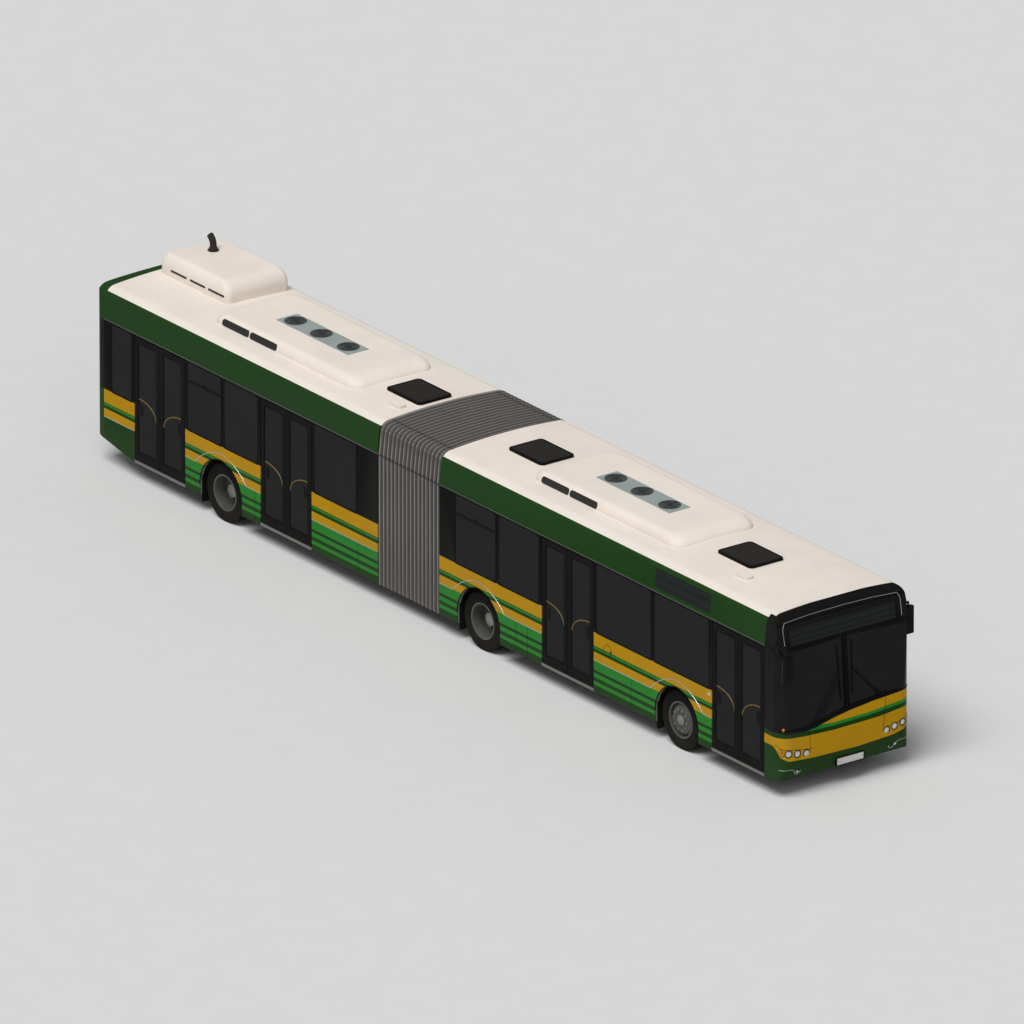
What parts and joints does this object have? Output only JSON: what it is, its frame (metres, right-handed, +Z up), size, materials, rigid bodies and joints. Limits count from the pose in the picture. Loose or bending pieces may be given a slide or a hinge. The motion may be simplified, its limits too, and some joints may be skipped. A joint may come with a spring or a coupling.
{
  "type": "articulated bus",
  "caption": "Low-floor articulated city bus with a yawing bellows joint, steered front axle, turning wheels, opening doors, roof hatches and engine flap.",
  "frame": {"origin": "on the road under the middle of the whole bus, mirrors included", "axes": "+X forward along the bus, +Y to its left, +Z up"},
  "size_m": [18.3337, 2.94, 3.6601],
  "materials": {
    "body_paint": "gloss",
    "roof_paint": "gloss",
    "glazing": "tinted",
    "black_plastic": "satin",
    "hatch_plastic": "matte",
    "floor_steel": "matte",
    "seat_cloth": "woven",
    "handrail_paint": "gloss",
    "cab_panel": "satin",
    "frame_steel": "satin",
    "bellows_fabric": "matte",
    "engine_iron": "rough",
    "exhaust_steel": "weathered",
    "wheel_rim": "satin",
    "tyre": "matte",
    "door_frame": "satin"
  },
  "bodies": {
    "front_car": {"front_floor": "floor_steel", "front_side_right": "body_paint", "front_side_left": "body_paint", "front_roof": "roof_paint", "nose": "body_paint", "windscreen": "glazing", "front_windows": "glazing", "destination_signs": "black_plastic", "front_ac_unit": "roof_paint", "front_seats": "seat_cloth", "front_handrails": "handrail_paint", "driver_cab": "cab_panel", "dashboard": "black_plastic", "mirrors": "black_plastic", "front_joint_frame": "frame_steel", "front_axle": "frame_steel", "middle_axle": "frame_steel", "bellows": "bellows_fabric"},
    "rear_car": {"rear_floor": "floor_steel", "rear_side_right": "body_paint", "rear_side_left": "body_paint", "rear_roof": "roof_paint", "tail": "body_paint", "rear_windows": "glazing", "rear_ac_unit": "roof_paint", "intake_pod": "roof_paint", "exhaust_pipe": "exhaust_steel", "rear_seats": "seat_cloth", "rear_handrails": "handrail_paint", "engine": "engine_iron", "engine_cover": "cab_panel", "rear_joint_frame": "frame_steel", "rear_axle": "frame_steel"},
    "left_knuckle": {"knuckle_left": "frame_steel"},
    "right_knuckle": {"knuckle_right": "frame_steel"},
    "front_left_wheel": {"front_rim_left": "wheel_rim", "front_tyre_left": "tyre"},
    "middle_left_wheels": {"middle_rim_left": "wheel_rim", "middle_tyres_left": "tyre"},
    "rear_left_wheels": {"rear_rim_left": "wheel_rim", "rear_tyres_left": "tyre"},
    "front_right_wheel": {"front_rim_right": "wheel_rim", "front_tyre_right": "tyre"},
    "middle_right_wheels": {"middle_rim_right": "wheel_rim", "middle_tyres_right": "tyre"},
    "rear_right_wheels": {"rear_rim_right": "wheel_rim", "rear_tyres_right": "tyre"},
    "door1_front": {"door1_front_leaf": "door_frame"},
    "door1_rear": {"door1_rear_leaf": "door_frame"},
    "door2_front": {"door2_front_leaf": "door_frame"},
    "door2_rear": {"door2_rear_leaf": "door_frame"},
    "door3_front": {"door3_front_leaf": "door_frame"},
    "door3_rear": {"door3_rear_leaf": "door_frame"},
    "door4_front": {"door4_front_leaf": "door_frame"},
    "door4_rear": {"door4_rear_leaf": "door_frame"},
    "front_hatch_lid": {"front_hatch": "hatch_plastic"},
    "middle_hatch_lid": {"middle_hatch": "hatch_plastic"},
    "rear_hatch_lid": {"rear_hatch": "hatch_plastic"},
    "engine_flap_lid": {"engine_flap": "body_paint"}
  },
  "joints": [
    {"name": "articulation", "type": "hinge", "parent": "front_car", "child": "rear_car", "pos_m": [-0.825, 0, 0.34], "axis": [0, 0, 1], "range_deg": [-48, 48], "deforming": ["bellows"]},
    {"name": "steer_left", "type": "hinge", "parent": "front_car", "child": "left_knuckle", "pos_m": [6.135, 0.96, 0.483], "axis": [0, 0, 1], "range_deg": [-50, 50]},
    {"name": "front_left_spin", "type": "hinge", "parent": "left_knuckle", "child": "front_left_wheel", "pos_m": [6.135, 1.07, 0.483], "axis": [0, 1, 0], "continuous": true},
    {"name": "middle_left_spin", "type": "hinge", "parent": "front_car", "child": "middle_left_wheels", "pos_m": [1.005, 0.9, 0.483], "axis": [0, 1, 0], "continuous": true},
    {"name": "rear_left_spin", "type": "hinge", "parent": "rear_car", "child": "rear_left_wheels", "pos_m": [-5.765, 0.9, 0.483], "axis": [0, 1, 0], "continuous": true},
    {"name": "steer_right", "type": "hinge", "parent": "front_car", "child": "right_knuckle", "pos_m": [6.135, -0.96, 0.483], "axis": [0, 0, 1], "range_deg": [-50, 50]},
    {"name": "front_right_spin", "type": "hinge", "parent": "right_knuckle", "child": "front_right_wheel", "pos_m": [6.135, -1.07, 0.483], "axis": [0, 1, 0], "continuous": true},
    {"name": "middle_right_spin", "type": "hinge", "parent": "front_car", "child": "middle_right_wheels", "pos_m": [1.005, -0.9, 0.483], "axis": [0, 1, 0], "continuous": true},
    {"name": "rear_right_spin", "type": "hinge", "parent": "rear_car", "child": "rear_right_wheels", "pos_m": [-5.765, -0.9, 0.483], "axis": [0, 1, 0], "continuous": true},
    {"name": "door1_front_swing", "type": "hinge", "parent": "front_car", "child": "door1_front", "pos_m": [8.331, -1.255, 1.4], "axis": [0, 0, -1], "range_deg": [0, 90]},
    {"name": "door1_rear_swing", "type": "hinge", "parent": "front_car", "child": "door1_rear", "pos_m": [7.089, -1.255, 1.4], "axis": [0, 0, 1], "range_deg": [0, 90]},
    {"name": "door2_front_swing", "type": "hinge", "parent": "front_car", "child": "door2_front", "pos_m": [3.941, -1.255, 1.4], "axis": [0, 0, -1], "range_deg": [0, 90]},
    {"name": "door2_rear_swing", "type": "hinge", "parent": "front_car", "child": "door2_rear", "pos_m": [2.699, -1.255, 1.4], "axis": [0, 0, 1], "range_deg": [0, 90]},
    {"name": "door3_front_swing", "type": "hinge", "parent": "rear_car", "child": "door3_front", "pos_m": [-3.419, -1.255, 1.4], "axis": [0, 0, -1], "range_deg": [0, 90]},
    {"name": "door3_rear_swing", "type": "hinge", "parent": "rear_car", "child": "door3_rear", "pos_m": [-4.661, -1.255, 1.4], "axis": [0, 0, 1], "range_deg": [0, 90]},
    {"name": "door4_front_swing", "type": "hinge", "parent": "rear_car", "child": "door4_front", "pos_m": [-6.759, -1.255, 1.4], "axis": [0, 0, -1], "range_deg": [0, 90]},
    {"name": "door4_rear_swing", "type": "hinge", "parent": "rear_car", "child": "door4_rear", "pos_m": [-8.001, -1.255, 1.4], "axis": [0, 0, 1], "range_deg": [0, 90]},
    {"name": "front_hatch_tilt", "type": "hinge", "parent": "front_car", "child": "front_hatch_lid", "pos_m": [6.015, 0, 3.0503], "axis": [0, -1, 0], "range_deg": [0, 60]},
    {"name": "middle_hatch_tilt", "type": "hinge", "parent": "front_car", "child": "middle_hatch_lid", "pos_m": [0.615, 0, 3.0503], "axis": [0, -1, 0], "range_deg": [0, 60]},
    {"name": "rear_hatch_tilt", "type": "hinge", "parent": "rear_car", "child": "rear_hatch_lid", "pos_m": [-2.575, 0, 3.0503], "axis": [0, -1, 0], "range_deg": [0, 60]},
    {"name": "engine_flap_lift", "type": "hinge", "parent": "rear_car", "child": "engine_flap_lid", "pos_m": [-9.161, 0, 1.372], "axis": [0, 1, 0], "range_deg": [0, 85]}
  ],
  "couplings": [
    {"joint": "steer_right", "follows": "steer_left", "ratio": 1},
    {"joint": "door1_rear_swing", "follows": "door1_front_swing", "ratio": 1},
    {"joint": "door2_rear_swing", "follows": "door2_front_swing", "ratio": 1},
    {"joint": "door3_rear_swing", "follows": "door3_front_swing", "ratio": 1},
    {"joint": "door4_rear_swing", "follows": "door4_front_swing", "ratio": 1}
  ]
}
